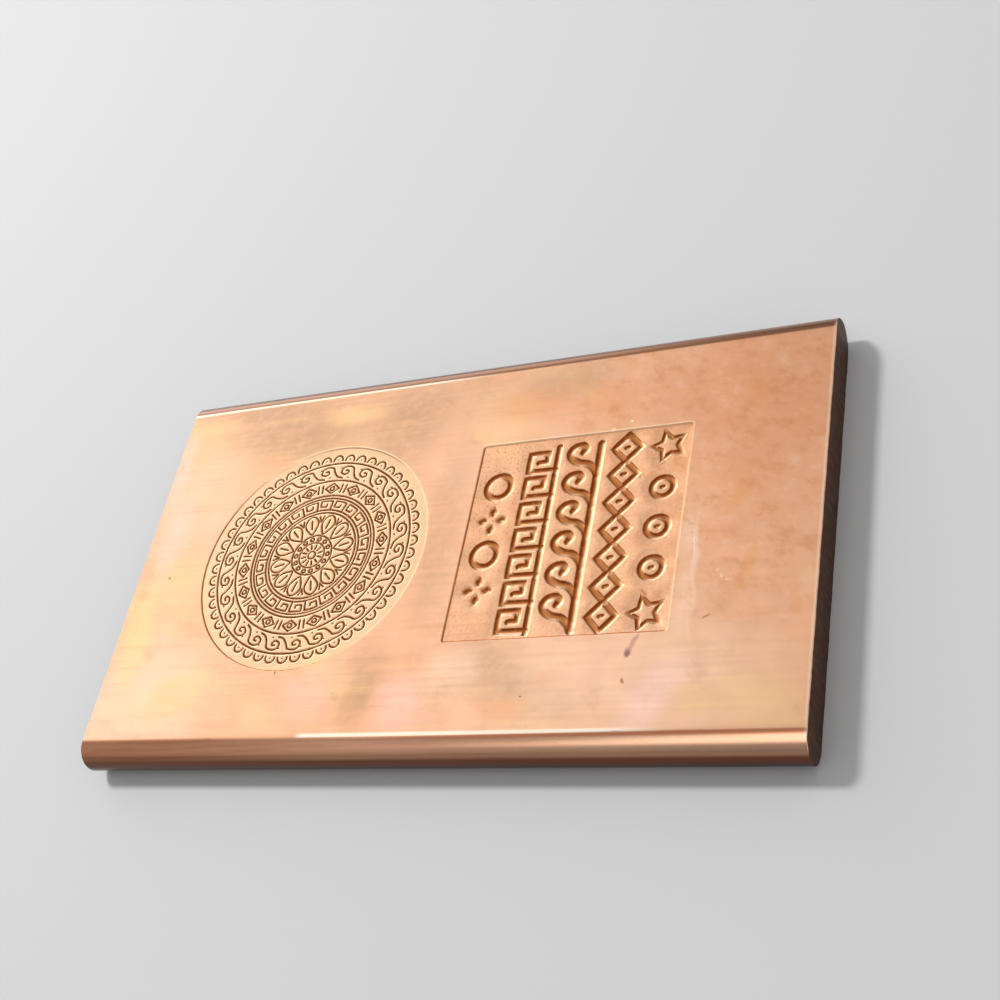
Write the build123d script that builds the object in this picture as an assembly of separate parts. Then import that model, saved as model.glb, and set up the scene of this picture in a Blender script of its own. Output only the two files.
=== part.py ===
from build123d import *
import os

# Stamped copper ingot: one length of flat bar with full-round long edges.
# Millimetres. +X runs along the bar, +Y across it, +Z up. The origin is the
# middle of the underside, on which the bar lies.

# Stock section
WIDTH = 63.5
THICKNESS = 6.35

# Cut length, and the small chamfer round each cut end
LENGTH = 105.6
END_BREAK = 0.25

# Round stamp: a shallow flat-bottomed recess, placed by its centre
MEDALLION_DIAMETER = 37.5
MEDALLION_CENTER_X = -21.6
MEDALLION_CENTER_Y = -0.2
MEDALLION_DEPTH = 0.12

# Square stamp: a shallow flat-bottomed recess, placed by its centre
PANEL_SIDE = 31.4
PANEL_CENTER_X = 18.9
PANEL_CENTER_Y = 0.0
PANEL_DEPTH = 0.2
PANEL_CORNER_RADIUS = 0.4


def stock_bar():
    """The bare bar: a flat section with half-round edges, cut square."""
    section = Plane.YZ * SlotOverall(WIDTH, THICKNESS)
    bar = extrude(section, LENGTH / 2, both=True)
    bar = Pos(0, 0, THICKNESS / 2) * bar
    cut_ends = bar.faces().filter_by(Axis.X)
    return chamfer(cut_ends.edges(), END_BREAK)


def round_stamp():
    """The disc that the round stamp presses out of the upper face."""
    floor = THICKNESS - MEDALLION_DEPTH
    outline = Pos(MEDALLION_CENTER_X, MEDALLION_CENTER_Y, floor) * Circle(MEDALLION_DIAMETER / 2)
    return extrude(outline, THICKNESS)


def square_stamp():
    """The square that the second stamp presses out of the upper face."""
    floor = THICKNESS - PANEL_DEPTH
    outline = RectangleRounded(PANEL_SIDE, PANEL_SIDE, PANEL_CORNER_RADIUS)
    return extrude(Pos(PANEL_CENTER_X, PANEL_CENTER_Y, floor) * outline, THICKNESS)


bar = stock_bar() - round_stamp() - square_stamp()

os.makedirs("parts", exist_ok=True)
export_step(bar, "parts/bar.step")
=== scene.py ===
import math

import bpy
import numpy as np
from mathutils import Matrix, Vector
from mathutils.geometry import delaunay_2d_cdt


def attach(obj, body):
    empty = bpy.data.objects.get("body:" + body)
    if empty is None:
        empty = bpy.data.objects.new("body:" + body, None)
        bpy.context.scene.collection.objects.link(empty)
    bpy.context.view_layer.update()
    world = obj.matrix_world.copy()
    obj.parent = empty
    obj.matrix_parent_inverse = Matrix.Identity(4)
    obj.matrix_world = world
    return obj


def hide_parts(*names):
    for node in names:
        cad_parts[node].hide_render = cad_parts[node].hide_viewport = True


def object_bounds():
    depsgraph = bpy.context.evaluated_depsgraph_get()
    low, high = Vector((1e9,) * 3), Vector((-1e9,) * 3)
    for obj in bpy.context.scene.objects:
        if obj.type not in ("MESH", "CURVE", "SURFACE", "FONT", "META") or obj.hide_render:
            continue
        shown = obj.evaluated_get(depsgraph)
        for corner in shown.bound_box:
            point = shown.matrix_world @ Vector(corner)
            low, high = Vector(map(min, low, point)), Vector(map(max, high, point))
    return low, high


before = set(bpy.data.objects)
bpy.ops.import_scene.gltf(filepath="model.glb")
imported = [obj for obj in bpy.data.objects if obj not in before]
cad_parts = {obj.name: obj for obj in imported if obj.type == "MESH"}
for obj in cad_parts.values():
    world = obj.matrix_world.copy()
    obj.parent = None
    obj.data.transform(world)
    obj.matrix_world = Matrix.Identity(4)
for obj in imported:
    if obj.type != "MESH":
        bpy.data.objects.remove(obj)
cad_lo, cad_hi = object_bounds()

# Everything below is worked out in millimetres and turned to metres when a mesh is made.
MM = 0.001

# The bar, from the frame's own box
LENGTH = (cad_hi[0] - cad_lo[0]) / MM
WIDTH = (cad_hi[1] - cad_lo[1]) / MM
THICKNESS = (cad_hi[2] - cad_lo[2]) / MM
EDGE_RADIUS = THICKNESS / 2
HALF_FLAT = WIDTH / 2 - EDGE_RADIUS

# The break at the cut ends is a size that shows in the looks, inside the frame's larger one
END_BREAK = 0.08

# The two stamps, at the places and sizes that the frame's part has
MEDALLION_CENTER = (-21.6, -0.2)
MEDALLION_RADIUS = 18.75
MEDALLION_DEPTH = 0.12
MEDALLION_WALL = 0.2
PANEL_CENTER = (18.9, 0.0)
PANEL_SIDE = 31.4
PANEL_DEPTH = 0.2
PANEL_WALL = 0.2
PANEL_CORNER = 0.4

# How far, and how deep, the panel's floor is drawn down beside a stroke
DRAW_REACH = 0.8
DRAW_DEPTH = 0.1

# Painted shade: the grooves' dark colour, dirt and shade in one, lies most on the side that this points
# to, whose walls face away from the light
SHADED_SIDE = np.array([-0.7, 0.7])

# The two stamps' walls get painted shade, a dark line at their foot, on this side, and a
# painted highlight on their lip on the other
SHADED_FOOT_SIDE = np.array([-0.75, -0.66])
FOOT_WIDTH = 0.08
LIP_WIDTH = 0.22
HALO_WIDTH = 0.12

# Mesh spacing
STATION = 0.8
FLAT_GRID = 1.0
STAMP_GRID = 0.45
ARC_STEPS = 20
CURVE_STEP = 0.36


class Stroke:
    """One groove of the stamps: its centre line, half width and depth, in millimetres."""

    def __init__(self, points, half, depth, closed=False, bold=False):
        self.points = np.array(points, float)
        self.half = half
        self.depth = depth
        self.closed = closed
        self.bold = bold


# Lines and curves that the ornament is drawn from

def arc(center, radius, start, end, step=CURVE_STEP):
    """Points along an arc. Angles are in degrees."""
    count = max(3, int(abs(math.radians(end - start)) * radius / step) + 1)
    angles = np.radians(np.linspace(start, end, count))
    return np.stack([center[0] + radius * np.cos(angles), center[1] + radius * np.sin(angles)], 1)


def circle(center, radius, step=CURVE_STEP):
    """Points round a circle, without the repeated last one."""
    count = max(12, int(2 * math.pi * radius / step))
    angles = np.linspace(0, 2 * math.pi, count, endpoint=False)
    return np.stack([center[0] + radius * np.cos(angles), center[1] + radius * np.sin(angles)], 1)


def densify(points, step, closed=False):
    """The same line with extra points, so that no run is longer than step."""
    points = np.array(points, float)
    ends = np.roll(points, -1, 0) if closed else points[1:]
    starts = points if closed else points[:-1]
    out = []
    for a, b in zip(starts, ends):
        count = max(1, int(math.ceil(np.linalg.norm(b - a) / step)))
        out += [a + (b - a) * k / count for k in range(count)]
    if not closed:
        out.append(points[-1])
    return np.array(out)


def star_points(center, outer, inner_share, points=5, turn=0.0):
    """The outline of a star. turn is in degrees."""
    out = []
    for k in range(2 * points):
        radius = outer if k % 2 == 0 else outer * inner_share
        angle = math.radians(turn + 180.0 * k / points)
        out.append((center[0] + radius * math.cos(angle), center[1] + radius * math.sin(angle)))
    return np.array(out)


# Round stamp: rings of ornament, each drawn in a cell that repeats round the centre

FINE_HALF = 0.24
FINE_DEPTH = 0.12
DOT_HALF = 0.2


def around(cell, inner, outer, count, turn=0.0):
    """Bends a line drawn in a unit cell (u along the ring, v outward) into each of count places."""
    cell = densify(cell, 0.06)
    lines = []
    for k in range(count):
        radius = inner + (outer - inner) * cell[:, 1]
        angle = math.radians(turn) + 2 * math.pi * (k + cell[:, 0]) / count
        x = MEDALLION_CENTER[0] + radius * np.cos(angle)
        y = MEDALLION_CENTER[1] + radius * np.sin(angle)
        lines.append(thin_out(np.stack([x, y], 1)))
    return lines


def thin_out(points, step=CURVE_STEP * 0.8, bend=12.0):
    """Drops points that lie closer than step to the last kept one, unless the line bends there."""
    kept = [points[0]]
    for before, here, after in zip(points[:-2], points[1:-1], points[2:]):
        a, b = here - before, after - here
        turn = abs(math.degrees(math.atan2(a[0] * b[1] - a[1] * b[0], a @ b)))
        if turn > bend or np.linalg.norm(here - kept[-1]) >= step:
            kept.append(here)
    kept.append(points[-1])
    return np.array(kept)


def half_wave(u0, u1, v0, v1, count=9):
    """A half ellipse from (u0, v0) over a top at v1 and back to (u1, v0), in a unit cell."""
    t = np.linspace(0, math.pi, count)
    return np.stack([(u0 + u1) / 2 - (u1 - u0) / 2 * np.cos(t), v0 + (v1 - v0) * np.sin(t)], 1)


def medallion_strokes():
    strokes = []

    def line(points, half=FINE_HALF, depth=FINE_DEPTH, closed=False):
        strokes.append(Stroke(points, half, depth, closed))

    def ring(radius, half=FINE_HALF):
        line(circle(MEDALLION_CENTER, radius), half, closed=True)

    def ring_of_circles(radius, size, count, turn=0.0):
        for k in range(count):
            angle = math.radians(turn) + 2 * math.pi * k / count
            center = (MEDALLION_CENTER[0] + radius * math.cos(angle),
                      MEDALLION_CENTER[1] + radius * math.sin(angle))
            line(circle(center, size, 0.25), closed=True)

    def dots(u, v, inner, outer, count):
        for dot in around([(u - 0.02, v), (u + 0.02, v)], inner, outer, count):
            line(dot, DOT_HALF)

    # Scalloped border, with a dot in each scallop
    for scallop in around(half_wave(0.12, 0.88, 0.1, 1.0), 16.35, 17.4, 50):
        line(scallop)
    dots(0.5, 0.3, 16.35, 17.4, 50)
    ring(15.95)

    # Running scrolls
    scroll = [(0.0, 0.05), (0.3, 0.16), (0.5, 0.5), (0.62, 0.84), (0.92, 0.93), (1.13, 0.76),
              (1.15, 0.46), (0.95, 0.32), (0.8, 0.45), (0.83, 0.62), (0.97, 0.62)]
    for curl in around(smooth_line(scroll), 13.2, 15.6, 26):
        line(curl)
    dots(0.2, 0.8, 13.2, 15.6, 26)
    dots(0.72, 0.12, 13.2, 15.6, 26)
    ring(12.85)

    # Lozenges with a small circle in each, and a pair of bars between
    lozenge = [(0.12, 0.5), (0.42, 0.95), (0.72, 0.5), (0.42, 0.05), (0.12, 0.5)]
    for diamond in around(lozenge, 10.55, 12.5, 18):
        line(diamond)
    ring_of_circles(11.5, 0.36, 18, turn=0.42 * 20)
    for place in (0.83, 1.01):
        for bar in around([(place, 0.14), (place, 0.86)], 10.55, 12.5, 18):
            line(bar)
    ring(10.2)
    ring(9.7)

    # Key pattern, on a ring as its base line
    key = [(0.06, 0.0), (0.06, 1.0), (0.82, 1.0), (0.82, 0.36), (0.4, 0.36), (0.4, 0.66)]
    for unit in around(key, 7.7, 9.3, 22):
        line(unit)
    ring(7.7)
    ring(7.2)

    # Petals, each with a vein, and a leaf point between each pair
    petal = smooth_line([(0.5, 0.0), (0.2, 0.3), (0.12, 0.62), (0.3, 0.9), (0.5, 1.0), (0.7, 0.9),
                         (0.88, 0.62), (0.8, 0.3), (0.5, 0.0)])
    for leaf in around(petal, 3.6, 6.85, 12):
        line(leaf)
    for vein in around([(0.5, 0.3), (0.5, 0.78)], 3.6, 6.85, 12):
        line(vein)
    for tip in around([(-0.11, 0.93), (0.0, 0.62), (0.11, 0.93)], 3.6, 6.85, 12):
        line(tip)
    ring(3.3)

    # Beads round a small sun of short rays
    ring_of_circles(2.7, 0.3, 14)
    ring(2.1)
    for dash in around([(0.5, 0.0), (0.5, 1.0)], 1.0, 1.75, 12):
        line(dash)
    line(circle(MEDALLION_CENTER, 0.62, 0.25), closed=True)
    return strokes


def smooth_line(points, pieces=6):
    """A smooth curve through the points, open or closed as they are (Catmull-Rom)."""
    points = np.array(points, float)
    loop = np.allclose(points[0], points[-1])
    before = points[-2] if loop else 2 * points[0] - points[1]
    after = points[1] if loop else 2 * points[-1] - points[-2]
    full = np.vstack([before, points, after])
    out = []
    for i in range(1, len(full) - 2):
        a, b, c, d = full[i - 1:i + 3]
        for t in np.linspace(0, 1, pieces, endpoint=False):
            out.append(0.5 * (2 * b + (c - a) * t + (2 * a - 5 * b + 4 * c - d) * t ** 2
                              + (3 * b - a - 3 * c + d) * t ** 3))
    out.append(points[-1])
    return np.array(out)


# Square stamp: five rows of bold ornament. Each row runs across the bar, from the near side
# to the far side, and is drawn with s to the right from the panel's left edge and t from its
# near edge.

BOLD_HALF = 0.6
BOLD_DEPTH = 0.28
NARROW_HALF = 0.5
NARROW_DEPTH = 0.26
STAR_CENTERS = ((28.2, 2.9), (28.2, 28.2))


def panel_place(points):
    points = np.array(points, float)
    corner = np.array(PANEL_CENTER) - PANEL_SIDE / 2
    return points + corner


def lozenge(middle, t, reach_s, reach_t):
    return [(middle - reach_s, t), (middle, t - reach_t), (middle + reach_s, t), (middle, t + reach_t)]


def panel_strokes():
    strokes = []

    def line(points, half=BOLD_HALF, depth=BOLD_DEPTH, closed=False):
        strokes.append(Stroke(panel_place(points), half, depth, closed, bold=True))

    # First row: two spaced rings, between the leaf crosses
    for t in ROW_ONE[1::2]:
        line(circle((3.7, t), 1.85, 0.45), 0.55, closed=True)

    # Second row: square key pattern on a straight base line
    base, height, pitch, start = 12.0, 4.2, 4.15, 1.2
    line(densify([(base, start - 0.3), (base, start + 7 * pitch - 0.3)], 1.0), NARROW_HALF, NARROW_DEPTH)
    for k in range(7):
        t = start + pitch * k
        key = [(0.0, 0.1), (1.0, 0.1), (1.0, 3.05), (0.36, 3.05), (0.36, 1.5), (0.66, 1.5)]
        line(densify([(base - height * v, t + u) for v, u in key], 1.0), NARROW_HALF, NARROW_DEPTH)

    # Third row: running waves on a base line
    base, height, pitch, start = 18.3, 4.5, 4.75, 1.3
    line(densify([(base, start), (base, start + 6 * pitch)], 1.0))
    wave = [(0.0, 0.0), (0.1, 0.2), (0.34, 0.42), (0.66, 0.5), (0.92, 0.66), (1.0, 0.88),
            (0.86, 1.07), (0.62, 1.1), (0.48, 0.96), (0.56, 0.84)]
    for k in range(6):
        t = start + pitch * k
        line(smooth_line([(base - height * v, t + pitch * (u - 0.1)) for v, u in wave], 4))

    # Fourth row: a chain of lozenges with a dot in each
    middle, start, pitch = 22.25, 2.75, 4.3
    for k in range(7):
        t = start + pitch * k
        diamond = densify(lozenge(middle, t, 2.0, pitch / 2), 1.0, True)
        line(diamond, NARROW_HALF, NARROW_DEPTH, closed=True)
        line([(middle - 0.2, t), (middle + 0.2, t)], 0.38, 0.22)

    # Last row: rings with a dot in each, between two stars
    for t in (9.4, 15.5, 21.6):
        line(circle((28.1, t), 1.5, 0.45), NARROW_HALF, NARROW_DEPTH, closed=True)
        line([(27.95, t), (28.25, t)], 0.36, 0.2)
    for center in STAR_CENTERS:
        star = star_points(center, 2.35, 0.5, turn=180.0)
        line(densify(star, 0.6, True), 0.36, 0.22, closed=True)
    return strokes


ROW_ONE = (7.7, 13.2, 18.7, 24.2)


def leaf_outline(root, tip, width, count=7):
    """A pointed leaf between two points, as a closed outline."""
    root, tip = np.array(root, float), np.array(tip, float)
    along = tip - root
    across = np.array([-along[1], along[0]]) / np.linalg.norm(along)
    t = np.linspace(0, 1, count)
    bulge = np.sin(math.pi * t) * width / 2
    one = root + t[:, None] * along + bulge[:, None] * across
    other = root + t[:, None] * along - bulge[:, None] * across
    return np.vstack([one, other[-2:0:-1]])


POCKET_DEPTH = 0.24
POCKET_WALL = 0.36


def pocket_outlines():
    """The pockets: crosses of four leaves."""
    outlines = []
    for t in ROW_ONE[::2]:
        for turn in (0, 90, 180, 270):
            way = np.array([math.cos(math.radians(turn)), math.sin(math.radians(turn))])
            middle = np.array([3.7, t])
            outlines.append(leaf_outline(middle + 0.35 * way, middle + 2.45 * way, 1.4))
    return [panel_place(outline) for outline in outlines]


# Height of the upper face

def offset_from_line(points, starts, ends):
    """The way from the nearest point of a set of line segments to each point."""
    best = np.full((len(points), 2), np.inf)
    for a, b in zip(starts, ends):
        run = b - a
        t = np.clip(((points - a) @ run) / max(run @ run, 1e-12), 0, 1)
        offset = points - a - t[:, None] * run
        nearer = (offset ** 2).sum(1) < (best ** 2).sum(1)
        best[nearer] = offset[nearer]
    return best


def inside_polygon(points, outline):
    inside = np.zeros(len(points), bool)
    for (x0, y0), (x1, y1) in zip(outline, np.roll(outline, -1, 0)):
        crosses = (y0 > points[:, 1]) != (y1 > points[:, 1])
        with np.errstate(divide="ignore", invalid="ignore"):
            at = x0 + (points[:, 1] - y0) * (x1 - x0) / (y1 - y0)
        inside ^= crosses & (points[:, 0] < at)
    return inside


def ramp(distance, wall):
    """0 outside, rising to 1 over the width of the wall."""
    return np.clip(distance / wall, 0, 1)


def panel_distance(points):
    """How far inside the square stamp's edge each point is, negative outside."""
    local = np.abs(points - np.array(PANEL_CENTER)) - (PANEL_SIDE / 2 - PANEL_CORNER)
    outside = np.linalg.norm(np.maximum(local, 0), axis=1) + np.minimum(local.max(1), 0)
    return PANEL_CORNER - outside


def near_points(points, line, reach):
    """The places of the points that lie in the line's box, widened by reach."""
    low, high = line.min(0) - reach, line.max(0) + reach
    return np.where(np.all((points >= low) & (points <= high), axis=1))[0]


def stamp_edge(points, center, in_stamp, wall, square):
    """Painted shade as a dark line at the foot of a stamp's wall on one side, and a painted highlight on
    its lip on the other.
    """
    out = points - np.array(center)
    if square:
        out = np.where(np.abs(out) == np.abs(out).max(1, keepdims=True), out, 0)
    out /= np.maximum(np.linalg.norm(out, axis=1, keepdims=True), 1e-9)
    side = out @ SHADED_FOOT_SIDE
    foot = 0.6 * np.clip((0.1 + side) / 0.6, 0, 1) * ramp(FOOT_WIDTH - np.abs(in_stamp - wall), FOOT_WIDTH)
    over_lip = np.interp(in_stamp, (-LIP_WIDTH, -LIP_WIDTH / 2, 0, wall), (0, 1, 0.2, 0))
    lip = np.clip((0.1 - side) / 0.6, 0, 1) * over_lip
    return foot, lip


def fine_section(share, far, half, toward):
    """Depth, dirt with painted shade, and painted highlight over a fine groove: a thin dark core, and
    shoulders painted bright, most across from the shaded side.
    """
    shoulder = ramp(HALO_WIDTH - np.abs(far - half), HALO_WIDTH)
    return share, ramp(share - 0.3, 0.5), np.clip(0.6 - 0.35 * toward, 0, 1) * shoulder


def bold_section(share, far, half, toward):
    """Depth, dirt with painted shade, and painted highlight over a bold groove: a dark wall of dirt and
    painted shade, and a wall painted bright across from it.
    """
    depth = np.minimum((1 + toward) / 1.15, (1 - toward) / 0.85)
    depth = np.clip(np.minimum(depth, share / 0.3), 0, 1)
    inside = ramp(share, 0.12)
    grime_and_shade = ramp(toward + 0.42, 0.95) * inside
    shoulder = ramp(HALO_WIDTH - np.abs(far - half), HALO_WIDTH)
    return depth, grime_and_shade, ramp(-toward, 0.7) * np.maximum(0.7 * inside, shoulder)


def upper_face_depth(points, strokes, pockets):
    """Depth below the upper face at each point, its dirt with painted shade, and its painted highlight,
    each 0 to 1.
    """
    in_medallion = MEDALLION_RADIUS - np.linalg.norm(points - np.array(MEDALLION_CENTER), axis=1)
    in_panel = panel_distance(points)
    depth = MEDALLION_DEPTH * ramp(in_medallion, MEDALLION_WALL)
    depth += PANEL_DEPTH * ramp(in_panel, PANEL_WALL)
    round_foot, round_lip = stamp_edge(points, MEDALLION_CENTER, in_medallion, MEDALLION_WALL, False)
    square_foot, square_lip = stamp_edge(points, PANEL_CENTER, in_panel, PANEL_WALL, True)
    shade = round_foot + square_foot
    painted_highlight = round_lip + square_lip
    groove = np.zeros(len(points))
    beside = np.full(len(points), np.inf)
    for stroke in strokes:
        near = near_points(points, stroke.points, stroke.half + 2 * DRAW_REACH)
        starts = stroke.points if stroke.closed else stroke.points[:-1]
        ends = np.roll(stroke.points, -1, 0) if stroke.closed else stroke.points[1:]
        offset = offset_from_line(points[near], starts, ends)
        far = np.linalg.norm(offset, axis=1)
        share = np.clip(1 - far / stroke.half, 0, 1)
        toward = offset @ SHADED_SIDE / stroke.half
        if stroke.bold:
            section, grime_and_shade, bright = bold_section(share, far, stroke.half, toward)
            beside[near] = np.minimum(beside[near], far - stroke.half)
        else:
            section, grime_and_shade, bright = fine_section(share, far, stroke.half, toward)
        shade[near] = np.maximum(shade[near], grime_and_shade)
        painted_highlight[near] = np.maximum(painted_highlight[near], bright)
        groove[near] = np.maximum(groove[near], section * stroke.depth)
    for outline in pockets:
        near = near_points(points, outline, 2 * DRAW_REACH)
        inner = inside_polygon(points[near], outline)
        offset = offset_from_line(points[near], outline, np.roll(outline, -1, 0))
        far = np.linalg.norm(offset, axis=1)
        wall = ramp(far, POCKET_WALL) * inner
        groove[near] = np.maximum(groove[near], POCKET_DEPTH * wall)
        # Painted shade: the pockets' dark colour lies most on the shaded side
        lean = -offset @ SHADED_SIDE / np.maximum(far, 0.05)
        grime_and_shade = wall * ramp(POCKET_WALL * 2.5 - far, POCKET_WALL) * np.clip(0.55 + 0.6 * lean, 0, 1)
        shade[near] = np.maximum(shade[near], grime_and_shade)
        beside[near] = np.minimum(beside[near], np.where(inner, 0, far))
    drawn = DRAW_DEPTH * np.exp(-(np.maximum(beside, 0) / DRAW_REACH) ** 2)
    drawn *= ramp(in_panel - PANEL_WALL, 0.5)
    return depth + drawn + groove, shade, painted_highlight * (1 - shade)


# Outlines that the upper face's triangles follow

def offset_line(points, distance, closed):
    """The line moved sideways, with mitred corners."""
    runs = np.roll(points, -1, 0) - points if closed else np.diff(points, axis=0)
    lengths = np.linalg.norm(runs, axis=1, keepdims=True)
    normals = np.stack([-runs[:, 1], runs[:, 0]], 1) / np.maximum(lengths, 1e-9)
    if closed:
        first, second = np.roll(normals, 1, 0), normals
    else:
        first = np.vstack([normals[:1], normals])
        second = np.vstack([normals, normals[-1:]])
    middle = first + second
    scale = 2 / np.maximum((middle * middle).sum(1), 0.5)
    return points + distance * middle * scale[:, None]


def stroke_outlines(stroke):
    """The lines along a groove that its shape needs: centre, walls and shoulders."""
    points = stroke.points
    offsets = [stroke.half * 0.5, stroke.half, stroke.half + HALO_WIDTH]
    if stroke.bold:
        offsets.append(stroke.half * 0.85)
    lines = [(points, stroke.closed)]
    for offset in offsets:
        left = offset_line(points, offset, stroke.closed)
        right = offset_line(points, -offset, stroke.closed)
        if stroke.closed:
            lines += [(left, True), (right, True)]
            continue
        head = points[0] - points[1]
        tail = points[-1] - points[-2]
        head = head / np.linalg.norm(head)
        tail = tail / np.linalg.norm(tail)
        end_cap = [points[-1] + tail * offset]
        start_cap = [points[0] + head * offset]
        if stroke.bold:
            diagonal = math.sqrt(0.5)
            side = (left[-1] - points[-1])
            end_cap = [points[-1] + (side + tail * offset) * diagonal, end_cap[0],
                       points[-1] + (tail * offset - side) * diagonal]
            side = (left[0] - points[0])
            start_cap = [points[0] + (head * offset - side) * diagonal, start_cap[0],
                         points[0] + (side + head * offset) * diagonal]
        lines.append((np.vstack([left, end_cap, right[::-1], start_cap]), True))
    return lines


def inset_polygon(outline, distance):
    sign = 1 if polygon_area(outline) > 0 else -1
    runs = np.roll(outline, -1, 0) - outline
    normals = np.stack([-runs[:, 1], runs[:, 0]], 1) / np.linalg.norm(runs, axis=1, keepdims=True)
    first, second = np.roll(normals, 1, 0), normals
    middle = first + second
    scale = 2 / np.maximum((middle * middle).sum(1), 0.05)
    return outline + sign * distance * middle * scale[:, None]


def polygon_area(outline):
    x, y = outline[:, 0], outline[:, 1]
    return 0.5 * np.sum(x * np.roll(y, -1) - y * np.roll(x, -1))


def rounded_square(center, half, radius):
    out = []
    for k, (sx, sy) in enumerate(((1, 1), (-1, 1), (-1, -1), (1, -1))):
        corner = (center[0] + sx * (half - radius), center[1] + sy * (half - radius))
        out.append(arc(corner, radius, 90 * k, 90 * k + 90, radius / 2))
    return densify(np.vstack(out), 0.8, True)


def grid_points(low, high, step):
    xs = np.arange(low[0], high[0], step) + step / 2
    ys = np.arange(low[1], high[1], step) + step / 2
    return np.stack(np.meshgrid(xs, ys), -1).reshape(-1, 2)


def triangulate_upper_face(stations_x, stations_y, strokes, pockets):
    """Triangles over the flat of the upper face that follow every groove and edge."""
    points, edges = [], []

    def add_line(line, closed):
        first = len(points)
        points.extend(map(tuple, line))
        count = len(line)
        for k in range(count if closed else count - 1):
            edges.append((first + k, first + (k + 1) % count))

    near = [(x, stations_y[0]) for x in stations_x]
    right = [(stations_x[-1], y) for y in stations_y[1:]]
    far = [(x, stations_y[-1]) for x in stations_x[-2::-1]]
    left = [(stations_x[0], y) for y in stations_y[-2:0:-1]]
    add_line(near + right + far + left, True)
    for inset in (-LIP_WIDTH, -LIP_WIDTH / 2, 0, MEDALLION_WALL, MEDALLION_WALL + FOOT_WIDTH):
        add_line(circle(MEDALLION_CENTER, MEDALLION_RADIUS - inset, 0.6), True)
    for inset in (-LIP_WIDTH, -LIP_WIDTH / 2, 0, PANEL_WALL, PANEL_WALL + FOOT_WIDTH):
        square = rounded_square(PANEL_CENTER, PANEL_SIDE / 2 - inset, PANEL_CORNER - inset * 0.9)
        add_line(square, True)
    for stroke in strokes:
        for line, closed in stroke_outlines(stroke):
            add_line(line, closed)
    for outline in pockets:
        add_line(outline, True)
        add_line(inset_polygon(outline, POCKET_WALL), True)

    low = np.array([stations_x[0], stations_y[0]])
    high = np.array([stations_x[-1], stations_y[-1]])
    coarse = grid_points(low, high, FLAT_GRID)
    inside = (coarse > low + 0.3).all(1) & (coarse < high - 0.3).all(1)
    radial = np.linalg.norm(coarse - np.array(MEDALLION_CENTER), axis=1)
    inside &= (radial > MEDALLION_RADIUS + 0.3) & (panel_distance(coarse) < -0.3)
    points.extend(map(tuple, coarse[inside]))
    medallion = np.array(MEDALLION_CENTER)
    fine = grid_points(medallion - MEDALLION_RADIUS, medallion + MEDALLION_RADIUS, STAMP_GRID)
    radial = np.linalg.norm(fine - medallion, axis=1)
    points.extend(map(tuple, fine[radial < MEDALLION_RADIUS - 0.5]))
    panel = np.array(PANEL_CENTER)
    fine = grid_points(panel - PANEL_SIDE / 2, panel + PANEL_SIDE / 2, STAMP_GRID)
    points.extend(map(tuple, fine[panel_distance(fine) > 0.35]))

    rng = np.random.default_rng(3)
    jitter = rng.uniform(-0.01, 0.01, (len(points), 2))
    fixed = len(near + right + far + left)
    jitter[:fixed] = 0
    vectors = [Vector(p) for p in np.array(points) + jitter]
    found, _, faces, _, _, _ = delaunay_2d_cdt(vectors, edges, [], 0, 1e-4, False)
    return np.array([tuple(v) for v in found]), faces


# The rest of the bar, in strips between stations

def section_angles():
    """Angles down the half-round edge, 0 at the upper face and 180 degrees at the underside."""
    return np.linspace(0, math.pi, ARC_STEPS + 1)


class MeshParts:
    """Vertices and faces gathered in millimetres. Doubles are welded at the end."""

    def __init__(self):
        self.vertices = []
        self.faces = []
        self.shade = []
        self.painted_highlight = []
        self.count = 0

    def add(self, vertices, faces, shade=None, painted_highlight=None):
        vertices = np.array(vertices, float).reshape(-1, 3)
        self.vertices.append(vertices)
        self.faces += [tuple(int(i) + self.count for i in face) for face in faces]
        self.shade.append(np.zeros(len(vertices)) if shade is None else shade)
        self.painted_highlight.append(np.zeros(len(vertices)) if painted_highlight is None else painted_highlight)
        self.count += len(vertices)

    def add_grid(self, rows):
        """A sheet of quads from equal rows of points. Quads with no area are dropped."""
        rows = np.array(rows, float)
        height, width = rows.shape[:2]
        faces = []
        for i in range(height - 1):
            for j in range(width - 1):
                corners = [(i, j), (i, j + 1), (i + 1, j + 1), (i + 1, j)]
                ring = []
                for a in corners:
                    if not any(np.allclose(rows[a], rows[b], atol=1e-6) for b in ring):
                        ring.append(a)
                if len(ring) > 2:
                    faces.append([a * width + b for a, b in ring])
        self.add(rows.reshape(-1, 3), faces)


def side_strip(parts, stations_x, side):
    """The half-round edge on one side, from the upper face down to the underside."""
    rows = []
    for angle in section_angles():
        y = side * (HALF_FLAT + EDGE_RADIUS * math.sin(angle))
        z = EDGE_RADIUS + EDGE_RADIUS * math.cos(angle)
        rows.append([(x, y, z) for x in stations_x])
    if side < 0:
        rows = rows[::-1]
    parts.add_grid(rows)


def end_rows(stations_y, inset):
    """Rows of points over an end face: half-round columns at both sides, flat ones between."""
    angles = section_angles()
    radius = EDGE_RADIUS - inset
    rows = []
    for angle in angles:
        z = EDGE_RADIUS + radius * math.cos(angle)
        row = [(-HALF_FLAT - radius * math.sin(angle), z)]
        row += [(y, z) for y in stations_y]
        row += [(HALF_FLAT + radius * math.sin(angle), z)]
        rows.append(row)
    return rows


def outline_of(rows):
    """The closed outline of an end face, round from the upper near corner."""
    top = rows[0][1:-1]
    far = [row[-1] for row in rows[1:-1]]
    under = rows[-1][1:-1][::-1]
    near = [row[0] for row in rows[1:-1]][::-1]
    return top + far + under + near


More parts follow.
